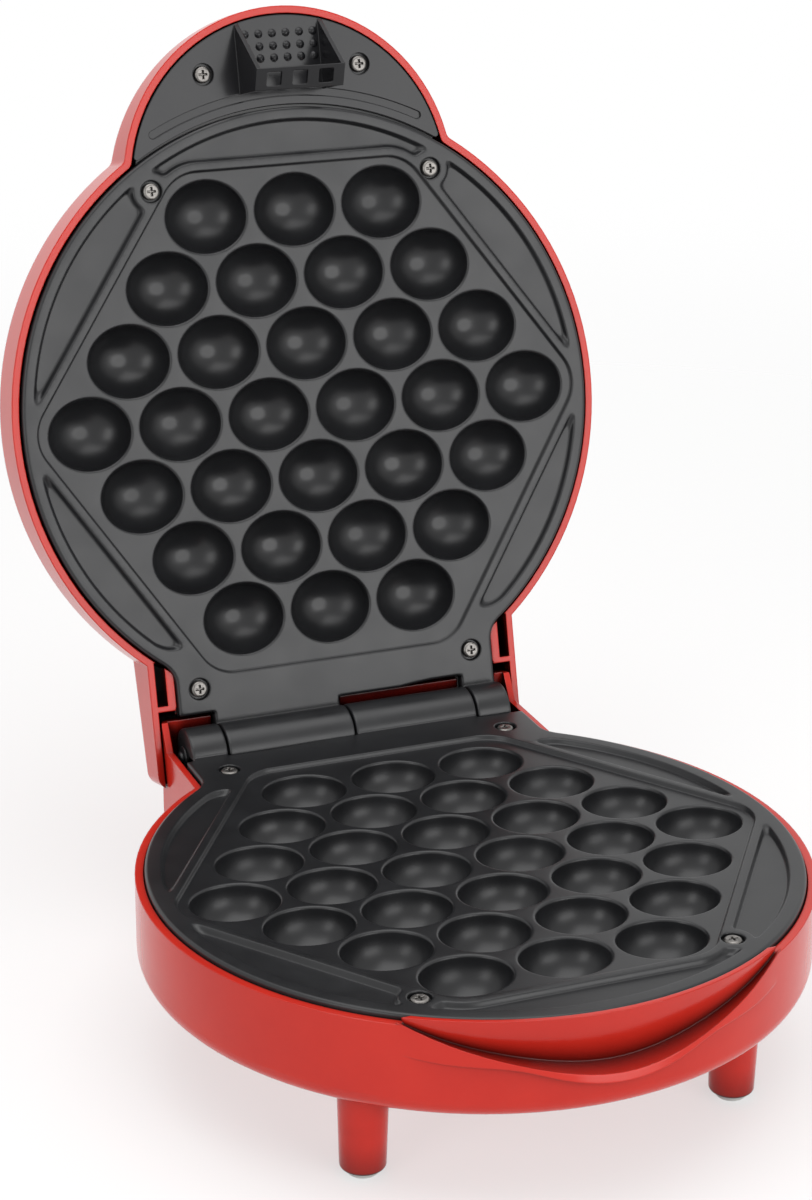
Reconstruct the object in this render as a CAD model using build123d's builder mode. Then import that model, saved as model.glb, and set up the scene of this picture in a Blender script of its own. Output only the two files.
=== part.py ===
from build123d import *
import math
import os

os.makedirs("parts", exist_ok=True)

# Frame: +Z up, the floor at Z 0, +X to the right of someone facing the front, front towards -Y.
# The lid stands open. Every plan position is given on the cooking face, from the plate's centre,
# with y growing towards the hinge, and every depth is measured from the face into its housing.

# Driving dimensions, millimetres
parting_height = 63.0
plate_centre_y = -39.66
hinge_y = 110.5
hinge_drop = 3.2
open_angle = 104.5

# Cooking plates
cup_pitch = 31.0
row_pitch = 22.35
cup_rows = (3, 4, 5, 6, 5, 4, 3)
cup_length = 28.6
cup_width = 24.6
cup_wall = 2.0
field_y = 0.8
field_depth = 1.5
field_corners = ((98.5, 0.0), (43.0, 85.5), (-43.0, 85.5), (-98.5, 0.0), (-40.6, -81.6), (40.6, -81.6))
field_corner_round = 14.0
plate_depth = 3.8
plate_edge_round = 1.0
lower_plate_radius = 101.2
upper_plate_radius = 100.0
face_gap = 0.3
pocket_depth = 1.8
pocket_margin = 2.4
pocket_radius = 96.3
pocket_end = 75.3
screw_land = 2.4
plate_screws = ((-49.2, -76.0), (49.2, -76.0), (-49.2, 89.2), (49.2, 89.2))
counterbore_radius = 3.6
counterbore_depth = 1.8

# Hinge: knuckle spans along X
knuckle_radius = 9.6
pin_radius = 2.0
bore_clearance = 0.05
lower_knuckles = ((-57.6, -45.3), (0.3, 44.2))
upper_knuckles = ((-44.8, -0.2), (44.7, 57.0))
lower_knuckle_flat = 118.6
upper_knuckle_flat = 121.0
lower_tongue_half = 60.4
lower_tongue_end = 100.2
upper_tongue_half = 57.0
upper_tongue_end = 97.6
pin_start = -59.6
pin_end = 59.2
ring_places = (-58.4, 57.5)
ring_sheet = 0.5
ring_radius = 3.8
ring_bore = 1.62

# Heating elements
element_ring_radius = 61.0
element_radius = 3.2
element_depth = 18.2
element_gap_angle = 24.0
seat_depth = 17.0
seat_half_width = 4.2
clip_angles = (-90, 30, 150)
clip_post_radius = 69.0
clip_depth = 21.4
clip_sheet = 0.8
reflector_radius = 76.0
reflector_sheet = 0.5
reflector_lip = 4.0
reflector_notch_y = 68.0
reflector_notch_half = 24.0
clip_length = 19.0
clip_width = 7.6
clip_overhang = 4.0
clip_post = 3.4
clip_screw_length = 7.0
solid_post_radius = 5.0
seat_gap_half = 26.5
element_end_bend = 12.0
element_end_run = 11.0
element_pin = 7.0
pilot_depth = 6.5
press_clearance = 0.01
touch = 0.05

# Sensors on the underside of the lower plate
sensor_pad_depth = 16.2
sensor_flange_depth = 20.7
sensor_flange = 0.6
sensor_screw_reach = 12.5
sensor_opening = 22.0
blade_depth = 26.0
blade_middle = 7.5
blade_length = 11.0
fuse_y = -21.55
fuse_depth = 18.3
fuse_half = 20.0
fuse_radius = 2.3
strap_post_y = -32.5
strap_depth = 16.0
strap_width = 6.4
strap_sheet = 0.6
earth_post_y = 93.0
earth_post_depth = 8.0
earth_tag = 0.5
lead_radius = 1.0
block_front = 93.0
block_length = 8.0
block_width = 28.0
block_top = 21.0
block_entry_depth = 25.0
lead_spacing = 9.0

# Housings
rim_step = 1.8
base_radius = 104.2
base_wall = 2.2
plate_opening = 101.6
base_depth = 31.0
base_floor = 2.0
base_bottom_round = 6.0
block_half = 63.2
block_end = 121.2
block_corner_round = 4.0
back_wall_rise = 6.6
cheek_start = 112.5
cheek_end = 118.0
inlet_radius = 5.0
inlet_y = 108.0
back_notch_height = -9.0
back_notch_margin = 0.8
lid_radius = 103.2
lid_wall = 2.4
lid_crown = 36.0
crown_radius = 386.0
ear_half = 66.0
ear_end = 121.5
lobe_centre_y = -75.2
lobe_radius = 58.0
lobe_corner_round = 3.0
lid_edge_round = 6.0
wedge_start = 30.0
wedge_depth = 19.5
wedge_fall = 0.1034
ear_corner_round = 4.5
partition_y = 95.0
partition_gap = 4.2
bay_start = 97.0
bay_end = 119.3
bay_half = 63.8
skirt_depth = 11.2
window_inner = 57.4

# Hollows in the lid's rim beside the hinge: inner edge, y from, y to, depth
rim_pockets = ((60.2, 78.5, 93.5, 18.0), (57.4, 95.3, 98.0, 17.0))

# Front of the base: the lip, and the scoop that takes the finger guard, as plan x and height
chin_half = 60.0
chin_end_y = -85.0
chin_tip_top = 104.1
chin_slope = 0.26
chin_reach = 21.0
chin_low_line = (
    (-60, -11),
    (-44, -12.7),
    (-30, -13.6),
    (-18, -16.8),
    (0, -19.2),
    (18, -16.8),
    (30, -13.6),
    (44, -12.7),
    (60, -11),
)
scoop_line = ((-60, -1), (-48, -6.6), (-30, -12), (0, -16.6), (30, -12), (48, -6.6), (60, -1))
recess_floor = 2.2
recess_sheet = 2.0
recess_bottom = 22.5
recess_top_radius = 103.2
recess_bottom_radius = 98.9
front_plane_reach = 50.0

# Handle panel and finger guard
panel_depth = 1.5
panel_sheet = 2.5
panel_radius = 55.0
panel_inner_radius = 101.0
panel_screws = ((-27.4, -112.5), (27.4, -112.5))
panel_boss_depth = 5.5
panel_pilot = 8.0
panel_screw_length = 9.0
groove_radius = 105.05
groove_width = 2.7
groove_depth = 0.8
groove_half_angle = 27.0
ledge_inner_radius = 97.5
ledge_outer_radius = 103.0
ledge_sheet = 1.2
ledge_setback = 1.4
guard_half = 15.3
guard_front = -128.0
guard_top = -112.2
guard_back = -105.2
guard_height = 19.3
guard_back_height = 15.6
fin_sheet = 1.4
bar_sheet = 1.6
window_pitch = 9.0
window_width = 5.2
window_length = 4.4
bump_radius = 1.6
bump_sink = 0.9
bump_pitch = 4.75
bump_rows = (-124.3, -120.2, -116.3)

# Indicators and wiring of the lid
lens_spacing = 18.0
lens_y = -112.0
lens_radius = 3.0
lens_proud = 0.5
neon_radius = 2.0
neon_length = 5.5
lid_block_half = 12.0
lid_block_length = 8.0
lid_block_height = 8.0
lid_block_top = 12.0
lead_crossing_depth = 23.8

# Legs
front_leg = (60.0, -60.0)
rear_leg = (50.0, 98.0)
leg_top_radius = 7.8
leg_foot_radius = 6.9
leg_taper = 1.6
leg_hollow = 28.5
leg_foot_round = 1.2
pad_radius = 4.8
pad_height = 2.0
pad_stem = 3.0
pad_stem_radius = 2.0

# Screws
screw_radius = 1.45
pilot_radius = 1.5
head_radius = 2.8
head_height = 1.7
boss_radius = 4.0
plate_screw_length = 12.0
bracket_screw_length = 6.0

turn = math.radians(open_angle)
hinge_z = parting_height - hinge_drop
hinge_axis_y = plate_centre_y + hinge_y
lid_into = (0, math.sin(turn), math.cos(turn))
lid_back = (0, math.cos(turn), -math.sin(turn))

# Cooking face of the base, looking up, and of the open lid, looking at the cook.
base_face = Plane(origin=(0, plate_centre_y, parting_height), x_dir=(1, 0, 0), z_dir=(0, 0, 1))
lid_face = Plane(
    origin=(
        0,
        hinge_axis_y - hinge_y * lid_back[1] + hinge_drop * lid_into[1],
        hinge_z - hinge_y * lid_back[2] + hinge_drop * lid_into[2],
    ),
    x_dir=(1, 0, 0),
    z_dir=(0, -lid_into[1], -lid_into[2]),
)
# The open lid's own y axis points away from the hinge, so its plan positions change sign.
base_side = (base_face, 1)
lid_side = (lid_face, -1)

front_plane = Plane(
    origin=(0, plate_centre_y - 78, parting_height), x_dir=(1, 0, 0), z_dir=(0, -1, 0)
)
inlet_plane = Plane(
    origin=(0, plate_centre_y + inlet_y, parting_height - base_depth), x_dir=(1, 0, 0), z_dir=(0, 0, -1)
)

cup_centres = [
    ((place - (count - 1) / 2) * cup_pitch, (row - 3) * row_pitch + field_y)
    for row, count in enumerate(cup_rows)
    for place in range(count)
]

clip_posts = [
    (
        clip_post_radius * math.cos(math.radians(angle)),
        field_y + clip_post_radius * math.sin(math.radians(angle)),
    )
    for angle in clip_angles
]
clip_screw_seat = clip_depth + clip_sheet + reflector_sheet
clip_post_list = [(x, y, clip_post, clip_depth) for x, y in clip_posts]
sensor_post_list = [
    (0, field_y, 9.0, sensor_pad_depth),
    (0, field_y - sensor_screw_reach, 3.0, sensor_flange_depth),
    (0, field_y + sensor_screw_reach, 3.0, sensor_flange_depth),
    (0, strap_post_y, 3.0, strap_depth),
    (0, earth_post_y, 3.0, earth_post_depth),
]
bracket_screw_seats = [
    (0, field_y - sensor_screw_reach, sensor_flange_depth + sensor_flange),
    (0, field_y + sensor_screw_reach, sensor_flange_depth + sensor_flange),
    (0, strap_post_y, strap_depth + strap_sheet),
    (0, earth_post_y, earth_post_depth + earth_tag),
]
element_end_angle = math.radians(90 - element_gap_angle)
element_end_x = (element_ring_radius + element_end_bend) * math.cos(element_end_angle) - element_end_bend
element_tip_y = (
    field_y
    + (element_ring_radius + element_end_bend) * math.sin(element_end_angle)
    + element_end_run
    + element_pin
)
leg_places = [(side * x, y) for x, y in (front_leg, rear_leg) for side in (-1, 1)]
leg_length_below = parting_height - base_depth + base_floor / 2 - pad_height
lens_places = (-lens_spacing / 2, lens_spacing / 2)
bump_columns = [(column - 2.5) * bump_pitch for column in range(6)]


def plan(points, back):
    """Plan positions on one of the two faces."""
    return [(x, back * y) for x, y in points]


def deep(points, back, depth):
    """Plan positions at a depth behind the face."""
    return [(x, back * y, -depth) for x, y in points]


def side_plane(side, x):
    """Plane across X at x: first axis towards the hinge, second axis out of the cooking face."""
    face, back = side
    towards_hinge = face.y_dir * back
    return Plane(
        origin=face.origin + Vector(x, 0, 0),
        x_dir=towards_hinge,
        z_dir=towards_hinge.cross(face.z_dir),
    )


def half_spheroid(length, width):
    """The half below the XY plane of a spheroid whose long axis is X."""
    with BuildPart() as body:
        with BuildSketch(Plane.XY):
            Ellipse(length / 2, width / 2)
            with Locations((0, -width / 4)):
                Rectangle(length + 1, width / 2, mode=Mode.SUBTRACT)
        revolve(axis=Axis.X, revolution_arc=-180)
    return body.part


def pan_screw(length):
    """Pan-head cross-recess screw: its head stands on the XY plane, its shank hangs below."""
    with BuildPart() as screw:
        with BuildSketch(Plane.XY):
            Circle(head_radius)
        extrude(amount=head_height)
        fillet(screw.edges().sort_by(Axis.Z)[-1], 0.9)
        with BuildSketch(Plane.XY):
            Circle(screw_radius)
        extrude(amount=-length)
        chamfer(screw.edges().sort_by(Axis.Z)[0], 0.5)
        with BuildSketch(Plane.XY.offset(head_height)):
            Rectangle(3.0, 0.8)
            Rectangle(0.8, 3.0)
        extrude(amount=-1.1, taper=12, mode=Mode.SUBTRACT)
    return screw.part


def field_outline(back, margin):
    """Rounded hexagon round the cups, in a sketch on the face, grown by a margin."""
    with BuildSketch(mode=Mode.PRIVATE) as outline:
        Polygon(*plan(field_corners, back)[::back], align=None)
        if margin:
            offset(amount=margin, kind=Kind.INTERSECTION)
        fillet(outline.vertices(), field_corner_round + margin)
    return outline.sketch


def cooking_plate(side, radius, tongue_half, tongue_end, knuckles, knuckle_flat, gap, bore_radius, posts):
    """Cast plate: land, recessed field of cups, pockets, element seat, posts and knuckles.

    Each post is a plan point, a radius and the depth it reaches; the slender ones take a screw.
    """
    face, back = side
    top = face.offset(-gap)
    out = Axis(face.origin, face.z_dir)
    with BuildPart(face) as plate:
        with BuildSketch(top):
            Circle(radius)
            with Locations((0, back * tongue_end / 2)):
                Rectangle(2 * tongue_half, tongue_end)
            with Locations((0, back * (tongue_end + radius))):
                Rectangle(2 * radius, 2 * radius, mode=Mode.SUBTRACT)
        extrude(amount=-(plate_depth - gap))
        fillet(plate.faces().sort_by(out)[-1].edges(), plate_edge_round)

        # Seat for the heating element, the cups' outer bodies and the clip posts
        with BuildSketch(face.offset(-plate_depth + 1)):
            with Locations((0, back * field_y)):
                Circle(element_ring_radius + seat_half_width)
                Circle(element_ring_radius - seat_half_width, mode=Mode.SUBTRACT)
            with Locations((0, back * element_ring_radius)):
                Rectangle(2 * seat_gap_half, element_ring_radius, mode=Mode.SUBTRACT)
        extrude(amount=-(seat_depth - plate_depth + 1))
        with Locations(*deep(cup_centres, back, field_depth)):
            add(half_spheroid(cup_length + 2 * cup_wall, cup_width + 2 * cup_wall))
        for x, y, radius_of_post, depth in posts:
            with BuildSketch(face.offset(-plate_depth + 1)):
                with Locations((x, back * y)):
                    Circle(radius_of_post)
            extrude(amount=-(depth - plate_depth + 1))

        # Hinge arms and knuckles
        for start, end in knuckles:
            with BuildSketch(top):
                with Locations(((start + end) / 2, back * (tongue_end - 2 + hinge_y) / 2)):
                    Rectangle(end - start, hinge_y - tongue_end + 2)
            extrude(amount=-(plate_depth - gap))
            with BuildSketch(side_plane(side, start)):
                with Locations((hinge_y, knuckle_drop(back))):
                    Circle(knuckle_radius)
                with Locations((knuckle_flat + knuckle_radius, knuckle_drop(back))):
                    Rectangle(2 * knuckle_radius, 2 * knuckle_radius, mode=Mode.SUBTRACT)
            extrude(amount=(end - start) * (1 if back > 0 else -1))

        # Cooking face: recessed field, cups and the shallow pockets between field and rim
        with BuildSketch(top):
            add(field_outline(back, 0))
        extrude(amount=-(field_depth - gap), mode=Mode.SUBTRACT)
        with Locations(*deep(cup_centres, back, field_depth)):
            add(half_spheroid(cup_length, cup_width), mode=Mode.SUBTRACT)
        with BuildSketch(top):
            Circle(pocket_radius)
            add(field_outline(back, pocket_margin), mode=Mode.SUBTRACT)
            with Locations((0, back * (pocket_end + radius))):
                Rectangle(2 * radius, 2 * radius, mode=Mode.SUBTRACT)
            with Locations(*plan(plate_screws[:2], back)):
                Circle(counterbore_radius + screw_land, mode=Mode.SUBTRACT)
        extrude(amount=-pocket_depth, mode=Mode.SUBTRACT)

        # Holes: plate screws, clip screws, element groove and hinge bore
        with BuildSketch(face):
            with Locations(*plan(plate_screws, back)):
                Circle(counterbore_radius)
        extrude(amount=-(counterbore_depth + gap), mode=Mode.SUBTRACT)
        with BuildSketch(face):
            with Locations(*plan(plate_screws, back)):
                Circle(pilot_radius + 0.3)
        extrude(amount=-plate_depth - 1, mode=Mode.SUBTRACT)
        for x, y, radius_of_post, depth in posts:
            if radius_of_post < solid_post_radius:
                with BuildSketch(face.offset(-depth)):
                    with Locations((x, back * y)):
                        Circle(pilot_radius)
                extrude(amount=pilot_depth, mode=Mode.SUBTRACT)
        with Locations((0, back * field_y, -element_depth)):
            Torus(element_ring_radius, element_radius + 0.02, mode=Mode.SUBTRACT)
        with BuildSketch(side_plane(side, 70)):
            with Locations((hinge_y, knuckle_drop(back))):
                Circle(bore_radius)
        extrude(amount=140 * (-1 if back > 0 else 1), mode=Mode.SUBTRACT)
    return plate


def knuckle_drop(back):
    """Height of the hinge axis over a face, along the face's outward normal."""
    return -hinge_drop if back > 0 else hinge_drop


def heating_element(side):
    """Tubular element: an open ring with both ends turned towards the hinge, and its pins."""
    face, back = side
    level = face.offset(-element_depth)
    with BuildPart() as element:
        with BuildLine(level) as half_path:
            centre = (0, back * field_y)
            ring = CenterArc(centre, element_ring_radius, -90 * back, (180 - element_gap_angle) * back)
            bend = JernArc(ring @ 1, ring % 1, element_end_bend, -(90 - element_gap_angle) * back)
            Line(bend @ 1, bend @ 1 + level.y_dir * back * element_end_run)
        path = half_path.wires()[0]
        with BuildSketch(Plane(origin=path @ 0, z_dir=path % 0)):
            Circle(element_radius)
        sweep(path=path)
        tip = path @ 1
        with BuildSketch(Plane(origin=tip, z_dir=level.y_dir * back)):
            Circle(1.3)
        extrude(amount=element_pin)
        mirror(about=Plane.YZ)
    return element


def element_clips(side):
    """Flat clips across the element, one at each post."""
    face, back = side
    with BuildPart() as clips:
        with BuildSketch(face.offset(-clip_depth)):
            for angle in clip_angles:
                across = math.radians(angle)
                middle = clip_post_radius + clip_overhang - clip_length / 2
                spot = (middle * math.cos(across), back * (field_y + middle * math.sin(across)))
                with Locations(Location((*spot, 0), (0, 0, back * angle))):
                    RectangleRounded(clip_length, clip_width, clip_width / 3)
            with Locations(*plan(clip_posts, back)):
                Circle(pilot_radius + 0.1, mode=Mode.SUBTRACT)
        extrude(amount=-clip_sheet)
    return clips


def reflector(side, centre_hole):
    """Shallow dish of thin sheet behind the element, open at the back for the element's ends."""
    face, back = side
    bottom = clip_depth + clip_sheet
    with BuildPart() as dish:
        with BuildSketch(face.offset(-bottom)):
            Circle(reflector_radius)
        extrude(amount=-reflector_sheet)
        with BuildSketch(face.offset(-bottom)):
            Circle(reflector_radius)
            Circle(reflector_radius - reflector_sheet, mode=Mode.SUBTRACT)
        extrude(amount=reflector_lip)
        with BuildSketch(face.offset(-bottom - 2 * reflector_sheet)):
            with Locations((0, back * (reflector_notch_y + reflector_radius) / 2)):
                Rectangle(2 * reflector_notch_half, reflector_radius - reflector_notch_y + 2)
            with Locations(*plan(clip_posts, back)):
                Circle(pilot_radius + 0.1)
            if centre_hole:
                with Locations((0, back * field_y)):
                    Circle(centre_hole)
        extrude(amount=2 * reflector_lip, mode=Mode.SUBTRACT)
    return dish


def lead(side, points, bend):
    """Insulated lead through points given as plan x, plan y and depth."""
    face, back = side
    corners = [face.from_local_coords(Vector(x, back * y, -depth)) for x, y, depth in points]
    with BuildPart() as wire:
        with BuildLine() as route:
            FilletPolyline(*corners, radius=bend)
        path = route.wires()[0]
        with BuildSketch(Plane(origin=path @ 0, z_dir=path % 0)):
            Circle(lead_radius)
        sweep(path=path)
    return wire.part


def smile_region(low_points, top):
    """Region above a curve across the front, in plan x and height over the parting plane."""
    with BuildSketch(mode=Mode.PRIVATE) as region:
        with BuildLine():
            low = Spline(*low_points)
            Polyline(low @ 1, (low_points[-1][0], top), (low_points[0][0], top), low @ 0)
        make_face()
    return region.sketch


def chin_section(height):
    """Outline of the front lip at a height: an arc that reaches further out lower down."""
    tip = -(chin_tip_top - chin_slope * height)
    with BuildSketch(base_face.offset(height), mode=Mode.PRIVATE) as section:
        with BuildLine():
            front = ThreePointArc((-chin_half, chin_end_y), (0, tip), (chin_half, chin_end_y))
            Line(front @ 1, front @ 0)
        make_face()
    return section.sketch


def dome_depth(x, y):
    """Depth of the lid's outside over a plan point of its dome."""
    return math.sqrt(crown_radius**2 - x * x - y * y) - (crown_radius - lid_crown)


def lid_dome(inset):
    """Solid under the domed top of the plate housing and the handle lobe, inset all round."""
    face, back = lid_side
    with BuildPart(face) as dome:
        with BuildSketch(face.offset(-rim_step)):
            Circle(lid_radius - inset)
            with Locations((0, back * lobe_centre_y)):
                Circle(lobe_radius - inset)
        extrude(amount=-lid_crown)
        uprights = dome.edges().filter_by(GeomType.LINE)
        fillet(uprights.filter_by(lambda edge: abs(edge.center().X) < lobe_radius), lobe_corner_round)
        with Locations((0, 0, crown_radius - lid_crown)):
            Sphere(crown_radius - inset, mode=Mode.INTERSECT)
        fillet(dome.faces().filter_by(GeomType.SPHERE)[0].edges(), lid_edge_round - inset)
    return dome.part


def lid_wedge(half, end, inset, edge_round, corner_round):
    """Solid of the block over the hinge: flat sides, and a top that falls a little towards the back."""
    face, back = lid_side
    near_depth = wedge_depth + wedge_fall * (ear_end - wedge_start) - inset
    far_depth = wedge_depth + wedge_fall * (ear_end - end) - inset
    hinge_side = Axis(face.origin, face.y_dir * back)
    out = Axis(face.origin, face.z_dir)
    with BuildPart() as wedge:
        with BuildSketch(side_plane(lid_side, 0)):
            Polygon(
                (wedge_start, -rim_step),
                (wedge_start, -near_depth),
                (end, -far_depth),
                (end, -rim_step),
                align=None,
            )
        extrude(amount=half, both=True)
        if corner_round:
            fillet(wedge.edges().filter_by(out).group_by(hinge_side)[-1], corner_round)
        fillet(wedge.faces().sort_by(out)[0].edges(), edge_round)
    return wedge.part


def lens_plane(x):
    """Plane on the lid's outside at an indicator lens, looking out of the lid."""
    face, back = lid_side
    spot = face.from_local_coords(Vector(x, back * lens_y, -dome_depth(x, lens_y)))
    centre = face.from_local_coords(Vector(0, 0, crown_radius - lid_crown))
    return Plane(origin=spot, z_dir=spot - centre)


# Lower cooking plate
lower_plate = cooking_plate(
    base_side,
    lower_plate_radius,
    lower_tongue_half,
    lower_tongue_end,
    lower_knuckles,
    lower_knuckle_flat,
    0.0,
    pin_radius + press_clearance,
    clip_post_list + sensor_post_list,
)
lower_plate.part.label = "lower_plate"
export_step(lower_plate.part, "parts/lower_plate.step")

# Upper cooking plate
upper_plate = cooking_plate(
    lid_side,
    upper_plate_radius,
    upper_tongue_half,
    upper_tongue_end,
    upper_knuckles,
    upper_knuckle_flat,
    face_gap,
    pin_radius + bore_clearance,
    clip_post_list,
)
upper_plate.part.label = "upper_plate"
export_step(upper_plate.part, "parts/upper_plate.step")

# Heating elements, their clips and reflectors, and the screws of both halves
for half_name, side, centre_hole in (("lower", base_side, sensor_opening), ("upper", lid_side, 0)):
    element = heating_element(side)
    element.part.label = f"{half_name}_heating_element"
    export_step(element.part, f"parts/{half_name}_heating_element.step")

    clips = element_clips(side)
    clips.part.label = f"{half_name}_element_clips"
    export_step(clips.part, f"parts/{half_name}_element_clips.step")

    dish = reflector(side, centre_hole)
    dish.part.label = f"{half_name}_reflector"
    export_step(dish.part, f"parts/{half_name}_reflector.step")

    with BuildPart(side[0]) as clip_screws:
        for x, y in clip_posts:
            with Locations(Location((x, side[1] * y, -clip_screw_seat), (180, 0, 0))):
                add(pan_screw(clip_screw_length))
    clip_screws.part.label = f"{half_name}_clip_screws"
    export_step(clip_screws.part, f"parts/{half_name}_clip_screws.step")

    with BuildPart(side[0]) as face_screws:
        for x, y in plate_screws:
            with Locations((x, side[1] * y, -counterbore_depth)):
                add(pan_screw(plate_screw_length))
    face_screws.part.label = f"{half_name}_plate_screws"
    export_step(face_screws.part, f"parts/{half_name}_plate_screws.step")

# Thermostat: cap against the plate, flange with two ears, body and two blades
with BuildPart(base_face) as thermostat:
    with BuildSketch(base_face.offset(-sensor_pad_depth)):
        with Locations((0, field_y)):
            Circle(7.8)
    extrude(amount=-(sensor_flange_depth - sensor_pad_depth))
    with BuildSketch(base_face.offset(-sensor_flange_depth)):
        with Locations((0, field_y)):
            SlotOverall(31, 12, rotation=90)
        with Locations((0, field_y - sensor_screw_reach), (0, field_y + sensor_screw_reach)):
            Circle(pilot_radius + 0.1, mode=Mode.SUBTRACT)
    extrude(amount=-sensor_flange)
    with BuildSketch(base_face.offset(-sensor_flange_depth - sensor_flange)):
        with Locations((0, field_y)):
            Circle(7.0)
    extrude(amount=-(blade_depth - sensor_flange_depth - sensor_flange))
    with BuildSketch(base_face.offset(-blade_depth)):
        with Locations((-blade_middle, field_y), (blade_middle, field_y)):
            Rectangle(blade_length, 5.0)
    extrude(amount=-0.8)
thermostat.part.label = "thermostat"
export_step(thermostat.part, "parts/thermostat.step")

# Screws of the thermostat, the fuse strap and the earth tag
with BuildPart(base_face) as bracket_screws:
    for x, y, depth in bracket_screw_seats:
        with Locations(Location((x, y, -depth), (180, 0, 0))):
            add(pan_screw(bracket_screw_length))
bracket_screws.part.label = "bracket_screws"
export_step(bracket_screws.part, "parts/bracket_screws.step")

# Thermal fuse: a sleeved barrel lying across the middle of the plate
with BuildPart() as thermal_fuse:
    with BuildSketch(side_plane(base_side, -fuse_half)):
        with Locations((fuse_y, -fuse_depth)):
            Circle(fuse_radius)
    extrude(amount=2 * fuse_half)
    fillet(thermal_fuse.edges(), 0.6)
thermal_fuse.part.label = "thermal_fuse"
export_step(thermal_fuse.part, "parts/thermal_fuse.step")

# Strap over the fuse: a foot on its post and an arch round the barrel
with BuildPart() as fuse_strap:
    with BuildSketch(side_plane(base_side, -strap_width / 2)):
        with Locations((fuse_y, -fuse_depth)):
            Circle(fuse_radius + 0.02 + strap_sheet)
            Circle(fuse_radius + 0.02, mode=Mode.SUBTRACT)
            with Locations((0, fuse_radius)):
                Rectangle(4 * fuse_radius, 2 * fuse_radius, mode=Mode.SUBTRACT)
            leg_length = fuse_depth - strap_depth
            for direction in (-1, 1):
                with Locations((direction * (fuse_radius + 0.02 + strap_sheet / 2), leg_length / 2)):
                    Rectangle(strap_sheet, leg_length)
        foot_end = fuse_y - fuse_radius - 0.02
        foot_start = strap_post_y - strap_width / 2
        with Locations(((foot_start + foot_end) / 2, -strap_depth - strap_sheet / 2)):
            Rectangle(foot_end - foot_start, strap_sheet)
    extrude(amount=strap_width)
    with BuildSketch(base_face.offset(-strap_depth)):
        with Locations((0, strap_post_y)):
            Circle(pilot_radius + 0.1)
    extrude(amount=-2 * strap_sheet, mode=Mode.SUBTRACT)
fuse_strap.part.label = "fuse_strap"
export_step(fuse_strap.part, "parts/fuse_strap.step")

# Terminal block on the floor of the rear block
with BuildPart() as terminal_block:
    with BuildSketch(base_face.offset(-block_top)):
        with Locations((0, block_front + block_length / 2)):
            RectangleRounded(block_width, block_length, 1)
    extrude(amount=-(base_depth - base_floor - block_top))
    with BuildSketch(base_face.offset(-block_top)):
        with Locations((0, block_front + block_length / 2)):
            with GridLocations(lead_spacing, 1, 3, 1):
                Circle(2.2)
    extrude(amount=-3, mode=Mode.SUBTRACT)
terminal_block.part.label = "terminal_block"
export_step(terminal_block.part, "parts/terminal_block.step")

# Leads of the base: block to thermostat, thermostat to fuse, fuse to element, element to block
with BuildPart() as base_wiring:
    blade_tip = blade_middle + blade_length / 2 + touch
    blade_level = blade_depth + 0.4
    pin_tip = element_tip_y + touch
    supply_lane = -20
    supply_turn = block_front - 5
    riser_lane = 18
    fuse_lane = 27
    return_lane = -28
    return_turn = 40
    middle_lane = -10
    return_end = pin_tip + 4
    drop_turn = pin_tip + 3.5
    add(lead(base_side, [
        (-blade_tip, field_y, blade_level),
        (supply_lane, field_y, blade_level),
        (supply_lane, supply_turn, blade_level),
        (-lead_spacing, supply_turn, blade_level),
        (-lead_spacing, block_front - touch, blade_level),
    ], 1.8))
    add(lead(base_side, [
        (blade_tip, field_y, blade_level),
        (riser_lane, field_y, blade_level),
        (riser_lane, field_y, fuse_depth),
        (fuse_lane, field_y, fuse_depth),
        (fuse_lane, fuse_y, fuse_depth),
        (fuse_half + touch, fuse_y, fuse_depth),
    ], 1.8))
    add(lead(base_side, [
        (-fuse_half - touch, fuse_y, fuse_depth),
        (return_lane, fuse_y, fuse_depth),
        (return_lane, return_turn, fuse_depth),
        (middle_lane, return_turn, fuse_depth),
        (middle_lane, return_end, fuse_depth),
        (-element_end_x, return_end, fuse_depth),
        (-element_end_x, pin_tip, fuse_depth),
    ], 1.8))
    add(lead(base_side, [
        (element_end_x, pin_tip, element_depth),
        (element_end_x, drop_turn, element_depth),
        (lead_spacing, drop_turn, element_depth),
        (lead_spacing, drop_turn, block_entry_depth),
        (lead_spacing, block_front - touch, block_entry_depth),
    ], 1.5))
base_wiring.part.label = "base_wiring"
export_step(base_wiring.part, "parts/base_wiring.step")

# Earth lead with its ring tag under the plate
with BuildPart() as earth_lead:
    with BuildSketch(base_face.offset(-earth_post_depth)):
        with Locations((0, earth_post_y)):
            Circle(3.4)
            Circle(pilot_radius + 0.1, mode=Mode.SUBTRACT)
    extrude(amount=-earth_tag)
    tag_level = earth_post_depth + earth_tag + 0.9
    earth_turn = earth_post_y - 9
    add(lead(base_side, [
        (0, earth_post_y - 3.0, tag_level),
        (0, earth_turn, tag_level),
        (0, earth_turn, block_entry_depth),
        (0, block_front - touch, block_entry_depth),
    ], 1.8))
earth_lead.part.label = "earth_lead"
export_step(earth_lead.part, "parts/earth_lead.step")

# Base housing
with BuildPart() as base_void:
    with BuildSketch(base_face.offset(back_wall_rise + 1)) as void_outline:
        Circle(plate_opening)
        with Locations((0, (block_end - base_wall) / 2)):
            Rectangle(2 * (block_half - base_wall), block_end - base_wall)
    extrude(amount=-(base_depth - base_floor + back_wall_rise + 1))
    fillet(base_void.faces().sort_by(Axis.Z)[0].edges(), base_bottom_round - base_wall)

with BuildPart() as chin:
    add(chin_section(0))
    add(chin_section(-chin_reach))
    loft()
    with BuildSketch(front_plane):
        add(smile_region(chin_low_line, 2))
    extrude(amount=front_plane_reach, mode=Mode.INTERSECT)

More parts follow.
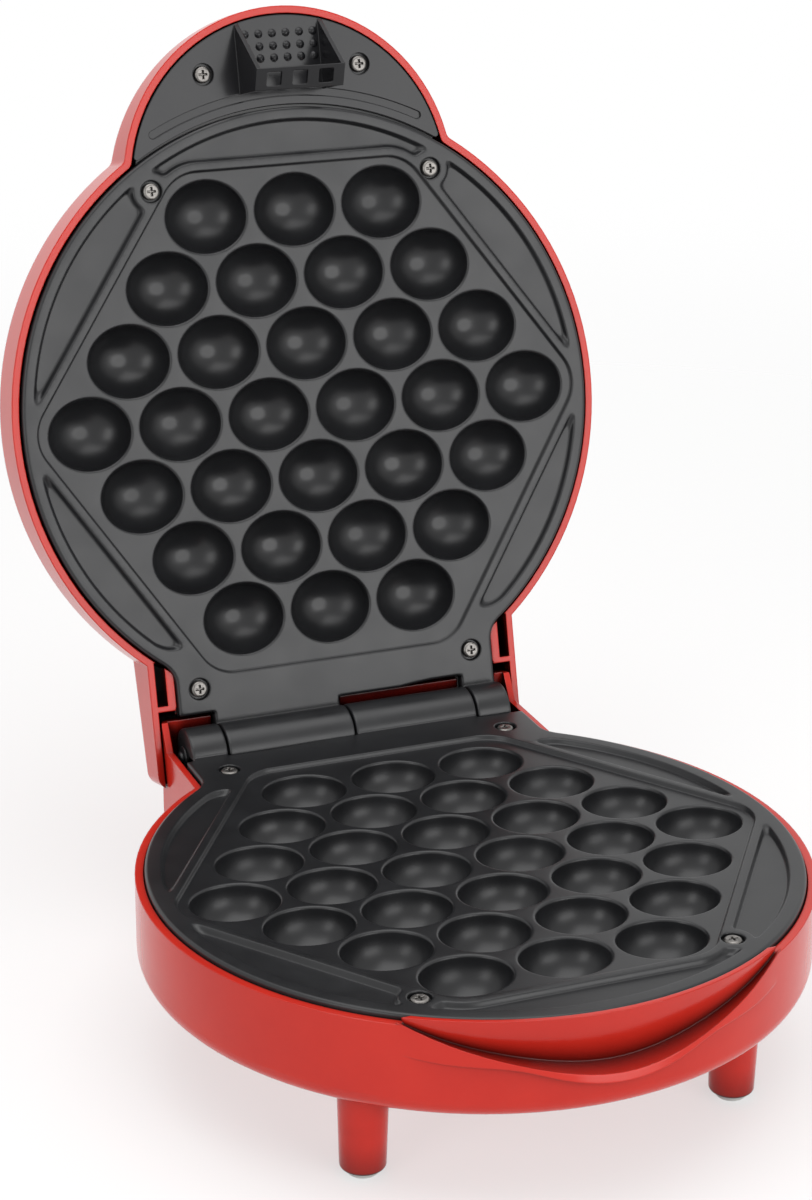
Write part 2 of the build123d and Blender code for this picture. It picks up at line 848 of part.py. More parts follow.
with BuildPart() as recess_wall:
    with BuildSketch(front_plane):
        add(smile_region([(x, z - recess_floor) for x, z in scoop_line], -rim_step))
    extrude(amount=front_plane_reach)
    with BuildSketch(base_face):
        Circle(plate_opening)
    extrude(amount=-plate_depth - 0.5, mode=Mode.SUBTRACT)
    with BuildSketch(base_face):
        Circle(plate_opening + 0.8)
    extrude(amount=-base_depth, mode=Mode.INTERSECT)
    with Locations((0, plate_centre_y, parting_height - recess_bottom / 2)):
        Cone(
            recess_bottom_radius - recess_sheet,
            recess_top_radius - recess_sheet,
            recess_bottom,
            mode=Mode.SUBTRACT,
        )

with BuildPart() as scoop:
    with BuildSketch(front_plane):
        add(smile_region(scoop_line, 8))
    extrude(amount=front_plane_reach)
    with Locations((0, plate_centre_y, parting_height - recess_bottom / 2)):
        Cone(recess_bottom_radius, recess_top_radius, recess_bottom, mode=Mode.SUBTRACT)
    with BuildSketch(base_face):
        Circle(recess_top_radius)
    extrude(amount=10, mode=Mode.SUBTRACT)

with BuildPart() as base_shell:
    with BuildSketch(base_face.offset(back_wall_rise)) as footprint:
        Circle(base_radius)
        with Locations((0, block_end / 2)):
            Rectangle(2 * block_half, block_end)
        fillet(footprint.vertices().group_by(Axis.Y)[-1], block_corner_round)
    extrude(amount=-(base_depth + back_wall_rise))
    fillet(base_shell.faces().sort_by(Axis.Z)[0].edges(), base_bottom_round)
    with BuildSketch(side_plane(base_side, 0)):
        Polygon(
            (-2 * base_radius, back_wall_rise + 1),
            (-2 * base_radius, -rim_step),
            (cheek_start, -rim_step),
            (cheek_end, back_wall_rise),
            (cheek_end, back_wall_rise + 1),
            align=None,
        )
    extrude(amount=2 * base_radius, both=True, mode=Mode.SUBTRACT)
    add(chin.part)
    add(base_void.part, mode=Mode.SUBTRACT)
    add(recess_wall.part)
    add(scoop.part, mode=Mode.SUBTRACT)

    # Legs: tapered, hollow from inside, with a seat for the pad's stem
    for x, y in leg_places:
        with BuildSketch(base_face.offset(-base_depth + base_floor / 2)):
            with Locations((x, y)):
                Circle(leg_top_radius)
        extrude(amount=-leg_length_below, taper=leg_taper)
    fillet(base_shell.faces().group_by(Axis.Z)[0].edges(), leg_foot_round)
    for x, y in leg_places:
        with BuildSketch(base_face.offset(-base_depth + base_floor)):
            with Locations((x, y)):
                Circle(leg_top_radius - base_wall)
        extrude(amount=-leg_hollow, taper=leg_taper, mode=Mode.SUBTRACT)
    with BuildSketch(Plane.XY.offset(pad_height)):
        with Locations(*[(x, plate_centre_y + y) for x, y in leg_places]):
            Circle(pad_stem_radius + 0.03)
    extrude(amount=pad_stem + 1, mode=Mode.SUBTRACT)

    # Screw bosses under the plate
    with BuildSketch(base_face.offset(-base_depth + base_floor)):
        with Locations(*plate_screws):
            Circle(boss_radius)
    extrude(amount=base_depth - base_floor - plate_depth)
    with BuildSketch(base_face.offset(-plate_depth)):
        with Locations(*plate_screws):
            Circle(pilot_radius)
    extrude(amount=-plate_screw_length, mode=Mode.SUBTRACT)

    # Gaps in the back wall for the arms of the upper plate, and the cord inlet in the floor
    for start, end in upper_knuckles:
        with BuildSketch(base_face.offset(back_notch_height)):
            with Locations(((start + end) / 2, block_end)):
                Rectangle(end - start + 2 * back_notch_margin, 2 * base_wall + 1)
        extrude(amount=back_wall_rise - back_notch_height + 1, mode=Mode.SUBTRACT)
    with BuildSketch(inlet_plane.offset(1)):
        Circle(inlet_radius)
    extrude(amount=-base_floor - 2, mode=Mode.SUBTRACT)
base_shell.part.label = "base_shell"
export_step(base_shell.part, "parts/base_shell.step")

# Foot pads: a disc and a stem pressed into each leg
with BuildPart() as foot_pads:
    with BuildSketch(Plane.XY):
        with Locations(*[(x, plate_centre_y + y) for x, y in leg_places]):
            Circle(pad_radius)
    extrude(amount=pad_height)
    chamfer(foot_pads.faces().group_by(Axis.Z)[0].edges(), 0.5)
    with BuildSketch(Plane.XY.offset(pad_height)):
        with Locations(*[(x, plate_centre_y + y) for x, y in leg_places]):
            Circle(pad_stem_radius)
    extrude(amount=pad_stem)
foot_pads.part.label = "foot_pads"
export_step(foot_pads.part, "parts/foot_pads.step")

# Grommet in the cord inlet: neck and two flanges
with BuildPart() as cord_grommet:
    with BuildSketch(inlet_plane):
        Circle(inlet_radius + 1.8)
    extrude(amount=1.5)
    fillet(cord_grommet.faces().sort_by(Axis.Z)[0].edges(), 0.6)
    with BuildSketch(inlet_plane):
        Circle(inlet_radius - 0.03)
    extrude(amount=-base_floor - touch)
    with BuildSketch(inlet_plane.offset(-base_floor - touch)):
        Circle(inlet_radius + 1.2)
    extrude(amount=-1.2)
    with BuildSketch(inlet_plane.offset(2)):
        Circle(3.2)
    extrude(amount=-8, mode=Mode.SUBTRACT)
cord_grommet.part.label = "cord_grommet"
export_step(cord_grommet.part, "parts/cord_grommet.step")

# Hinge pin with a groove at each end, and the two retaining rings
with BuildPart() as hinge_pin:
    with BuildSketch(side_plane(base_side, pin_start)):
        with Locations((hinge_y, -hinge_drop)):
            Circle(pin_radius)
    extrude(amount=pin_end - pin_start)
    chamfer(hinge_pin.edges(), 0.4)
    for x in ring_places:
        with BuildSketch(side_plane(base_side, x - 0.05)):
            with Locations((hinge_y, -hinge_drop)):
                Circle(pin_radius + 1)
                Circle(ring_bore - 0.02, mode=Mode.SUBTRACT)
        extrude(amount=ring_sheet + 0.1, mode=Mode.SUBTRACT)
hinge_pin.part.label = "hinge_pin"
export_step(hinge_pin.part, "parts/hinge_pin.step")

with BuildPart() as pin_rings:
    for x in ring_places:
        with BuildSketch(side_plane(base_side, x)):
            with Locations((hinge_y, -hinge_drop)):
                Circle(ring_radius)
                Circle(ring_bore, mode=Mode.SUBTRACT)
        extrude(amount=ring_sheet)
pin_rings.part.label = "pin_rings"
export_step(pin_rings.part, "parts/pin_rings.step")

# Lid housing
with BuildPart() as hinge_bay:
    with BuildSketch(side_plane(lid_side, 0)):
        Polygon(
            (bay_start, -rim_step + 1),
            (bay_start, lid_wall - wedge_depth - wedge_fall * (ear_end - bay_start)),
            (bay_end, lid_wall - wedge_depth - wedge_fall * (ear_end - bay_end)),
            (bay_end, -rim_step + 1),
            align=None,
        )
    extrude(amount=bay_half, both=True)
    fillet(hinge_bay.faces().sort_by(Axis(lid_face.origin, lid_face.z_dir))[0].edges(), 2.5)

with BuildPart() as lid_shell:
    add(lid_dome(0))
    add(lid_wedge(ear_half, ear_end, 0, lid_edge_round, ear_corner_round))
    add(lid_dome(lid_wall), mode=Mode.SUBTRACT)
    add(lid_wedge(window_inner, partition_y, lid_wall, lid_edge_round - lid_wall, 0), mode=Mode.SUBTRACT)
    add(hinge_bay.part, mode=Mode.SUBTRACT)

    # The back wall stops short of the rim, and a gap separates the window's rib from the bay
    with BuildSketch(side_plane(lid_side, 0)):
        with Locations((ear_end, -(rim_step + skirt_depth) / 2)):
            Rectangle(2 * (ear_end - bay_end) + 1, skirt_depth - rim_step + 0.01)
    extrude(amount=bay_half, both=True, mode=Mode.SUBTRACT)
    for inner, low, high, depth in rim_pockets:
        middle = (inner + bay_half) / 2
        with BuildSketch(lid_face.offset(-rim_step + 1)):
            with Locations((-middle, -(low + high) / 2), (middle, -(low + high) / 2)):
                Rectangle(bay_half - inner, high - low)
        extrude(amount=-(depth - rim_step + 1), mode=Mode.SUBTRACT)

    # Partition's lower edge clears the plate's tongue
    with BuildSketch(side_plane(lid_side, 0)):
        with Locations(((partition_y + bay_start) / 2, -(rim_step + partition_gap) / 2)):
            Rectangle(bay_start - partition_y + 1, partition_gap - rim_step + 0.01)
    extrude(amount=window_inner + 0.3, both=True, mode=Mode.SUBTRACT)

    # Screw bosses for the plate and for the handle panel
    for places, start, pilot in (
        (plate_screws, plate_depth, plate_screw_length),
        (panel_screws, panel_boss_depth, panel_pilot),
    ):
        for x, y in places:
            roof = dome_depth(x, y) - lid_wall / 2
            with BuildSketch(lid_face.offset(-start)):
                with Locations((x, -y)):
                    Circle(boss_radius)
            extrude(amount=-(roof - start))
            with BuildSketch(lid_face.offset(-start)):
                with Locations((x, -y)):
                    Circle(pilot_radius)
            extrude(amount=-pilot, mode=Mode.SUBTRACT)

    # Holes for the two indicator lenses
    for x in lens_places:
        with BuildSketch(lens_plane(x).offset(2)):
            Circle(lens_radius + 0.05)
        extrude(amount=-8, mode=Mode.SUBTRACT)
lid_shell.part.label = "lid_shell"
export_step(lid_shell.part, "parts/lid_shell.step")

# Handle panel: D-shaped cover of the lobe with the finger guard
panel_face = lid_face.offset(-panel_depth)
with BuildPart(lid_face) as handle_panel:
    with BuildSketch(panel_face) as panel_outline:
        with Locations((0, -lobe_centre_y)):
            Circle(panel_radius)
        Circle(panel_inner_radius, mode=Mode.SUBTRACT)
        fillet(panel_outline.vertices(), 1)
    extrude(amount=-panel_sheet)
    with BuildSketch(lid_face.offset(-panel_boss_depth)):
        with Locations(*plan(panel_screws, -1)):
            Circle(boss_radius + 1)
    extrude(amount=panel_boss_depth - panel_depth - panel_sheet)

    # Ledge that runs under the plate's edge
    with BuildSketch(panel_face.offset(-panel_sheet)):
        with Locations((0, -lobe_centre_y)):
            Circle(panel_radius - ledge_setback)
        Circle(ledge_outer_radius, mode=Mode.INTERSECT)
        Circle(ledge_inner_radius, mode=Mode.SUBTRACT)
    extrude(amount=-ledge_sheet)

    # Long arc groove beside the plate
    with BuildSketch(panel_face) as groove:
        groove_arc = (90 - groove_half_angle, 2 * groove_half_angle)
        with BuildLine():
            outer_edge = CenterArc((0, 0), groove_radius + groove_width / 2, *groove_arc)
            inner_edge = CenterArc((0, 0), groove_radius - groove_width / 2, *groove_arc)
            Line(outer_edge @ 0, inner_edge @ 0)
            Line(outer_edge @ 1, inner_edge @ 1)
        make_face()
        fillet(groove.vertices(), groove_width / 2 - touch)
    extrude(amount=-groove_depth, mode=Mode.SUBTRACT)

    # Finger guard: two fins and a slanted bar with three windows
    for x in (-guard_half, guard_half - fin_sheet):
        with BuildSketch(side_plane(lid_side, x)):
            Polygon(
                (guard_front, -panel_depth - 1),
                (guard_front, -panel_depth),
                (guard_top, guard_height - panel_depth),
                (guard_back, guard_back_height - panel_depth),
                (guard_back, -panel_depth - 1),
                align=None,
            )
        extrude(amount=-fin_sheet)
    with BuildSketch(side_plane(lid_side, 0)):
        Polygon(
            (guard_top, guard_height - panel_depth),
            (guard_back, guard_back_height - panel_depth),
            (guard_back, guard_back_height - panel_depth - bar_sheet),
            (guard_top, guard_height - panel_depth - bar_sheet),
            align=None,
        )
    extrude(amount=guard_half - fin_sheet / 2, both=True)
    with BuildSketch(lid_face.offset(guard_height)):
        with Locations((0, -(guard_top + guard_back) / 2)):
            with GridLocations(window_pitch, 1, 3, 1):
                RectangleRounded(window_width, window_length, 0.6)
    extrude(amount=-(guard_height - guard_back_height + 3 * bar_sheet), mode=Mode.SUBTRACT)

    # Grip bumps on the panel between the fins
    with Locations(*[(x, -y, -panel_depth - bump_sink) for x in bump_columns for y in bump_rows]):
        Sphere(bump_radius)

    with BuildSketch(panel_face):
        with Locations(*plan(panel_screws, -1)):
            Circle(counterbore_radius)
    extrude(amount=-counterbore_depth, mode=Mode.SUBTRACT)
    with BuildSketch(panel_face):
        with Locations(*plan(panel_screws, -1)):
            Circle(pilot_radius + 0.3)
    extrude(amount=-panel_boss_depth, mode=Mode.SUBTRACT)
handle_panel.part.label = "handle_panel"
export_step(handle_panel.part, "parts/handle_panel.step")

with BuildPart(lid_face) as panel_screw_pair:
    for x, y in panel_screws:
        with Locations((x, -y, -panel_depth - counterbore_depth)):
            add(pan_screw(panel_screw_length))
panel_screw_pair.part.label = "panel_screws"
export_step(panel_screw_pair.part, "parts/panel_screws.step")

# Indicators: a lens through the roof and a neon lamp behind it
for lamp_name, x in zip(("power", "ready"), lens_places):
    with BuildPart() as lens:
        with BuildSketch(lens_plane(x).offset(-lid_wall - 2)):
            Circle(lens_radius)
        extrude(amount=lid_wall + 2 + lens_proud)
        fillet(lens.edges().filter_by(GeomType.CIRCLE).sort_by_distance(lens_plane(x).origin)[0], 0.4)
        with BuildSketch(lens_plane(x).offset(-lid_wall - 1.2)):
            Circle(lens_radius + 0.9)
        extrude(amount=1.0)
    lens.part.label = f"{lamp_name}_lens"
    export_step(lens.part, f"parts/{lamp_name}_lens.step")

    with BuildPart() as neon:
        with BuildSketch(lens_plane(x).offset(-lid_wall - 2 - touch)):
            Circle(neon_radius)
        extrude(amount=-neon_length)
    neon.part.label = f"{lamp_name}_neon"
    export_step(neon.part, f"parts/{lamp_name}_neon.step")

# Terminal block against the lid's partition
with BuildPart() as lid_terminal_block:
    with BuildSketch(lid_face.offset(-lid_block_top)):
        with Locations((0, -(partition_y - lid_block_length / 2))):
            Rectangle(2 * lid_block_half, lid_block_length)
    extrude(amount=-lid_block_height)
    chamfer(lid_terminal_block.edges().filter_by(Axis.X), 0.6)
lid_terminal_block.part.label = "lid_terminal_block"
export_step(lid_terminal_block.part, "parts/lid_terminal_block.step")

# Leads of the lid: element ends and neons to the block
with BuildPart() as lid_wiring:
    block_middle_y = partition_y - lid_block_length / 2
    block_near_y = partition_y - lid_block_length - touch
    lid_block_middle = lid_block_top + lid_block_height / 2
    crossing_start = -80
    crossing_end = 79.5
    for direction in (-1, 1):
        add(lead(lid_side, [
            (direction * element_end_x, element_tip_y + touch, element_depth),
            (direction * element_end_x, block_middle_y, element_depth),
            (direction * (lid_block_half + touch), block_middle_y, element_depth),
        ], 1.5))
        back_of_neon = lid_wall + 2 + 2 * touch + neon_length
        slope_x, slope_y, slope_depth = (
            direction * lens_spacing / 2 / crown_radius,
            lens_y / crown_radius,
            (dome_depth(lens_spacing / 2, lens_y) + crown_radius - lid_crown) / crown_radius,
        )
        start, turn_off = [
            (
                direction * lens_spacing / 2 - reach * slope_x,
                lens_y - reach * slope_y,
                dome_depth(lens_spacing / 2, lens_y) - reach * slope_depth,
            )
            for reach in (back_of_neon, back_of_neon + 2.6)
        ]
        add(lead(lid_side, [
            start,
            turn_off,
            (turn_off[0], crossing_start, turn_off[2]),
            (turn_off[0], crossing_start, lead_crossing_depth),
            (turn_off[0], crossing_end, lead_crossing_depth),
            (turn_off[0], crossing_end, lid_block_middle),
            (turn_off[0], block_near_y, lid_block_middle),
        ], 1.2))
lid_wiring.part.label = "lid_wiring"
export_step(lid_wiring.part, "parts/lid_wiring.step")
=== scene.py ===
"""Looks of an open bubble waffle maker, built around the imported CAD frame. Metres, +Z up, front towards -Y."""

import math

import bmesh
import bpy
import numpy as np
from mathutils import Matrix, Vector
from mathutils.geometry import delaunay_2d_cdt


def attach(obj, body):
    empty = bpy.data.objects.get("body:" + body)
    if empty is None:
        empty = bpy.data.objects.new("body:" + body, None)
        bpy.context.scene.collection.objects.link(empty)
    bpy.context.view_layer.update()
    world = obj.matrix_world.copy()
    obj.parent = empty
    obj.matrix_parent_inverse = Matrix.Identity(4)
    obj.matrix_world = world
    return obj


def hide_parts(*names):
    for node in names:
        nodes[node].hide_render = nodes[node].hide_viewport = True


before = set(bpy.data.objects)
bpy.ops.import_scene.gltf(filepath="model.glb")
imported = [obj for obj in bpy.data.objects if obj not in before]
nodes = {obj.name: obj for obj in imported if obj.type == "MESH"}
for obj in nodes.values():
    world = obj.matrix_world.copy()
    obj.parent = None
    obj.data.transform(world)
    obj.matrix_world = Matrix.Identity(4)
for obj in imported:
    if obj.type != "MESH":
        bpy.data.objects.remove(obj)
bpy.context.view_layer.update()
MM = 0.001


# Finishes

GRAIN_SHARE = 0.35  # of the fine noise in tone and roughness; the soft patches have the rest
# Painted shade in hollows: a finish given a reach for it darkens its base colour by ambient occlusion
PAINTED_SHADE_FROM, PAINTED_SHADE_TO = 0.34, 0.88  # ambient occlusion between the darkest painted shade in a hollow and an open surface without it
PAINTED_SHADE_TONE = 0.03  # painted shade: share of the surface's own tone left in the darkest hollow
PAINTED_SHADE_SAMPLES = 8
EDGE_SAMPLES = 12


def finish(name, tones, rough, patch, grain, relief, edge=0.0, painted_shade_reach=0.0, **sockets):
    """Procedural finish: two close tones in soft patches, roughness that varies with them, a fine grain, and painted
    shade in hollows if asked.

    tones is two colours, rough the lowest and highest roughness, patch and grain the sizes of the two noises,
    relief the height of the grain, edge the radius that sharp edges seem to have, and the argument after edge the
    width of the hollows darkened with painted shade, all five in millimetres. sockets sets the shader's own
    constants.
    """
    material = bpy.data.materials.new(name)
    material.use_nodes = True
    tree = material.node_tree
    shader = tree.nodes["Principled BSDF"]
    for socket, value in sockets.items():
        shader.inputs[socket.replace("_", " ")].default_value = value

    place = tree.nodes.new("ShaderNodeTexCoord")
    soft = tree.nodes.new("ShaderNodeTexNoise")
    soft.inputs["Scale"].default_value = 1 / (patch * MM)
    soft.inputs["Detail"].default_value = 3.0
    fine = tree.nodes.new("ShaderNodeTexNoise")
    fine.inputs["Scale"].default_value = 1 / (grain * MM)
    fine.inputs["Detail"].default_value = 2.0
    for noise in (soft, fine):
        tree.links.new(place.outputs["Object"], noise.inputs["Vector"])

    both = tree.nodes.new("ShaderNodeMath")
    both.operation = "MULTIPLY_ADD"
    both.inputs[1].default_value = GRAIN_SHARE
    tree.links.new(fine.outputs["Fac"], both.inputs[0])
    spread = tree.nodes.new("ShaderNodeMapRange")
    spread.inputs["From Min"].default_value = 0.3
    spread.inputs["From Max"].default_value = 0.7
    tree.links.new(soft.outputs["Fac"], spread.inputs["Value"])
    half = tree.nodes.new("ShaderNodeMath")
    half.operation = "MULTIPLY"
    half.inputs[1].default_value = 1 - GRAIN_SHARE
    tree.links.new(spread.outputs["Result"], half.inputs[0])
    tree.links.new(half.outputs["Value"], both.inputs[2])

    blend = tree.nodes.new("ShaderNodeMix")
    blend.data_type = "RGBA"
    blend.inputs["A"].default_value = (*tones[0], 1)
    blend.inputs["B"].default_value = (*tones[1], 1)
    tree.links.new(both.outputs["Value"], blend.inputs["Factor"])
    # Painted shade: the base colour is darkened where ambient occlusion finds a hollow
    if painted_shade_reach:
        painted_shade_ao = tree.nodes.new("ShaderNodeAmbientOcclusion")
        painted_shade_ao.samples = PAINTED_SHADE_SAMPLES
        painted_shade_ao.inputs["Distance"].default_value = painted_shade_reach * MM
        painted_shade_mask = tree.nodes.new("ShaderNodeMapRange")
        painted_shade_mask.inputs["From Min"].default_value = PAINTED_SHADE_FROM
        painted_shade_mask.inputs["From Max"].default_value = PAINTED_SHADE_TO
        shade = tree.nodes.new("ShaderNodeMix")
        shade.data_type = "RGBA"
        shade.inputs["A"].default_value = (*[PAINTED_SHADE_TONE * value for value in tones[0]], 1)
        tree.links.new(painted_shade_ao.outputs["AO"], painted_shade_mask.inputs["Value"])
        tree.links.new(painted_shade_mask.outputs["Result"], shade.inputs["Factor"])
        tree.links.new(blend.outputs["Result"], shade.inputs["B"])
        tree.links.new(shade.outputs["Result"], shader.inputs["Base Color"])
    else:
        tree.links.new(blend.outputs["Result"], shader.inputs["Base Color"])

    gloss = tree.nodes.new("ShaderNodeMapRange")
    gloss.inputs["To Min"].default_value = rough[0]
    gloss.inputs["To Max"].default_value = rough[1]
    tree.links.new(both.outputs["Value"], gloss.inputs["Value"])
    tree.links.new(gloss.outputs["Result"], shader.inputs["Roughness"])

    bump = tree.nodes.new("ShaderNodeBump")
    bump.inputs["Distance"].default_value = relief * MM
    bump.inputs["Strength"].default_value = 1.0
    tree.links.new(fine.outputs["Fac"], bump.inputs["Height"])
    if edge:
        soften = tree.nodes.new("ShaderNodeBevel")
        soften.samples = EDGE_SAMPLES
        soften.inputs["Radius"].default_value = edge * MM
        tree.links.new(soften.outputs["Normal"], bump.inputs["Normal"])
    tree.links.new(bump.outputs["Normal"], shader.inputs["Normal"])
    return material


FINISHES = {
    # red shell: its last number, 20, is the reach of the painted shade in its hollows
    "red_shell": finish(
        "glossy_red_plastic", ((0.55, 0.021, 0.012), (0.61, 0.028, 0.016)), (0.12, 0.20), 24, 2.4, 0.0012, 0.6, 20,
        Specular_IOR_Level=0.3,
    ),
    "plate_coating": finish(
        "satin_black_coating", ((0.009, 0.009, 0.010), (0.014, 0.0145, 0.016)), (0.27, 0.38), 14, 0.7, 0.012, 0.8,
        Specular_IOR_Level=0.42,
    ),
    "black_gloss": finish(
        "glossy_black_plastic", ((0.010, 0.010, 0.011), (0.015, 0.015, 0.017)), (0.14, 0.22), 18, 1.2, 0.004, 0.4,
        Specular_IOR_Level=0.3,
    ),
    "black_screws": finish(
        "blackened_steel", ((0.10, 0.095, 0.09), (0.28, 0.265, 0.25)), (0.28, 0.44), 1.6, 0.4, 0.01, 0.2,
        Metallic=0.9,
    ),
    "pads": finish("clear_grey_silicone", ((0.42, 0.42, 0.41), (0.52, 0.52, 0.50)), (0.12, 0.22), 3, 0.6, 0.006),
    "steel": finish(
        "bright_steel", ((0.52, 0.51, 0.50), (0.62, 0.61, 0.60)), (0.22, 0.34), 4, 0.5, 0.004, Metallic=1.0
    ),
    "zinc_sheet": finish(
        "zinc_plate", ((0.50, 0.51, 0.52), (0.64, 0.65, 0.64)), (0.28, 0.44), 3, 0.6, 0.006, Metallic=1.0
    ),
    "aluminium_sheet": finish(
        "mill_aluminium", ((0.66, 0.66, 0.67), (0.78, 0.78, 0.78)), (0.24, 0.36), 12, 0.8, 0.004, Metallic=1.0
    ),
    "thermostat_body": finish(
        "moulded_brown", ((0.10, 0.055, 0.030), (0.15, 0.085, 0.050)), (0.35, 0.50), 2, 0.4, 0.01
    ),
    "sleeving": finish("woven_sleeve", ((0.68, 0.66, 0.58), (0.82, 0.80, 0.73)), (0.7, 0.9), 1.2, 0.35, 0.05),
    "terminal_plastic": finish(
        "moulded_cream", ((0.72, 0.70, 0.62), (0.80, 0.78, 0.71)), (0.35, 0.5), 4, 0.6, 0.01
    ),
    "lead_insulation": finish("silicone_lead", ((0.70, 0.68, 0.60), (0.80, 0.78, 0.72)), (0.4, 0.55), 3, 0.5, 0.01),
    "earth_insulation": finish("green_lead", ((0.12, 0.32, 0.05), (0.42, 0.50, 0.08)), (0.4, 0.55), 2, 0.5, 0.01),
    "black_rubber": finish(
        "black_rubber", ((0.018, 0.018, 0.018), (0.030, 0.030, 0.030)), (0.55, 0.72), 3, 0.5, 0.02
    ),
    "red_lens": finish(
        "red_lens", ((0.55, 0.02, 0.015), (0.66, 0.035, 0.025)), (0.06, 0.12), 2, 0.6, 0.004, Transmission_Weight=0.5
    ),
    "green_lens": finish(
        "green_lens", ((0.03, 0.38, 0.06), (0.05, 0.48, 0.09)), (0.06, 0.12), 2, 0.6, 0.004, Transmission_Weight=0.5
    ),
    "neon_glass": finish(
        "lamp_glass", ((0.80, 0.62, 0.46), (0.88, 0.74, 0.60)), (0.06, 0.12), 2, 0.5, 0.004, Transmission_Weight=0.6
    ),
}
DARK_NODES = ("hinge_pin", "pin_rings")  # steel in the record, given the black plate coating here so that their ends render dark
for node_name, node in nodes.items():
    for index, slot in enumerate(node.data.materials):
        slot_name = "plate_coating" if node_name in DARK_NODES else slot.name.split(".")[0]
        node.data.materials[index] = FINISHES[slot_name]


# Cast plates: the solids' forms with the rounded lips and sloped walls of a casting, in millimetres.
# x runs along the hinge, y from the plate's centre towards the hinge, and depth into the housing.
# INTO and TOWARDS_HINGE are the open lid's own depth and y, and LID_CENTRE is its plate's centre.

OPEN_ANGLE = math.radians(104.5)
INTO = np.array((0.0, math.sin(OPEN_ANGLE), math.cos(OPEN_ANGLE)))
TOWARDS_HINGE = np.array((0.0, math.cos(OPEN_ANGLE), -math.sin(OPEN_ANGLE)))
PLATE_CENTRE = np.array((0.0, -39.66, 63.0))
HINGE_Y = 110.5
HINGE_DROP = 3.2
LID_CENTRE = PLATE_CENTRE + (0, HINGE_Y, -HINGE_DROP) - HINGE_Y * TOWARDS_HINGE + HINGE_DROP * INTO

FIELD_CORNERS = np.array(((98.5, 0), (43, 85.5), (-43, 85.5), (-98.5, 0), (-40.6, -81.6), (40.6, -81.6)), float)
FIELD_ROUND = 14.0
FIELD_DEPTH = 1.5
FIELD_Y = 0.8
CUP_PITCH = 31.0
ROW_PITCH = 22.35
CUP_ROWS = (3, 4, 5, 6, 5, 4, 3)
CUP_CENTRES = [
    ((place - (count - 1) / 2) * CUP_PITCH, (row - len(CUP_ROWS) // 2) * ROW_PITCH + FIELD_Y)
    for row, count in enumerate(CUP_ROWS)
    for place in range(count)
]
CUP_HALF = np.array((14.3, 12.3))
CUP_DEPTH = 12.3
CUP_WALL = 2.0
LIP_OUT = 0.35
LIP_IN = 0.45
CUP_ROOT = 0.6  # growth of a cup's opening where its shell meets the underside
POCKET_RADIUS = 96.3
POCKET_MARGIN = 2.4
POCKET_END = 75.3
POCKET_DEPTH = 1.8
POCKET_CORNER = 3.0
SCREW_LAND = 2.4
SCREW_CORNER = 2.0
FRONT_SCREWS = ((-49.2, -76.0), (49.2, -76.0))
SCREWS = FRONT_SCREWS + ((-49.2, 89.2), (49.2, 89.2))
COUNTERBORE = 3.6
COUNTERBORE_DEPTH = 1.8
SEAT_ROUND = 0.3
PLATE_DEPTH = 3.8
EDGE_ROUND = 1.0
INNER_CORNER = 4.0  # of the notches between disc and tongue
TONGUE_START = 20.0
ARM_START = 90.0
ARM_END = HINGE_Y - 4.0
BARREL = 9.6
BARREL_ROUND = 0.9
BARREL_BEVEL = 0.26  # inset of the middle point of a barrel's rounded end
BARREL_SIDES = 48
PIN_BORE = 2.06
EDGE_SPACING = 1.0
LINE_SPACING = 1.4
SEAT_SIDES = 40
WELD = 0.004
SHARP_ANGLE = math.radians(45)


def soft_max(first, second, reach):
    """Larger of two distances, with the corner between them rounded."""
    return np.maximum(first, second) + np.maximum(reach - np.abs(first - second), 0) ** 2 / (4 * reach)


def from_field(x, y):
    """Distance from the rounded hexagon round the cups, negative inside it."""
    after = np.roll(FIELD_CORNERS, -1, axis=0)
    along = (after - FIELD_CORNERS) / np.linalg.norm(after - FIELD_CORNERS, axis=1)[:, None]
    outward = np.stack([along[:, 1], -along[:, 0]], axis=1)
    shift = (outward * FIELD_CORNERS).sum(axis=1) - FIELD_ROUND
    inner = [
        np.linalg.solve(np.array((outward[k - 1], outward[k])), np.array((shift[k - 1], shift[k])))
        for k in range(len(outward))
    ]
    behind = np.max([n[0] * x + n[1] * y - s for n, s in zip(outward, shift)], axis=0)
    nearest = np.full(np.shape(x), np.inf)
    for k, corner in enumerate(inner):
        run = inner[(k + 1) % len(inner)] - corner
        share = np.clip(((x - corner[0]) * run[0] + (y - corner[1]) * run[1]) / (run @ run), 0, 1)
        nearest = np.minimum(nearest, np.hypot(x - corner[0] - share * run[0], y - corner[1] - share * run[1]))
    return np.where(behind > 0, nearest, behind) - FIELD_ROUND


def from_pockets(x, y):
    """Distance from the shallow pockets between field and rim, negative inside them."""
    away = soft_max(np.hypot(x, y) - POCKET_RADIUS, POCKET_MARGIN - from_field(x, y), POCKET_CORNER)
    away = soft_max(away, y - POCKET_END, POCKET_CORNER)
    for screw_x, screw_y in FRONT_SCREWS:
        away = soft_max(away, COUNTERBORE + SCREW_LAND - np.hypot(x - screw_x, y - screw_y), SCREW_CORNER)
    return away


def from_outline(x, y, plate):
    """Distance from the plate's edge with its tongue and hinge arms, negative inside."""
    tongue = np.maximum(np.abs(x) - plate["tongue_half"], y - plate["tongue_end"])
    disc = np.maximum(np.hypot(x, y) - plate["radius"], y - plate["tongue_end"])
    away = -soft_max(-disc, -np.maximum(tongue, TONGUE_START - y), INNER_CORNER)
    for start, end in plate["knuckles"]:
        arm = np.maximum(np.abs(x - (start + end) / 2) - (end - start) / 2, y - ARM_END)
        away = np.minimum(away, np.maximum(arm, ARM_START - y))
    return away


def step(distance, width, depth):
    """Depth of a wall that falls smoothly over a width inside an edge."""
    share = np.clip(-distance / width, 0, 1)
    return depth * share * share * (3 - 2 * share)


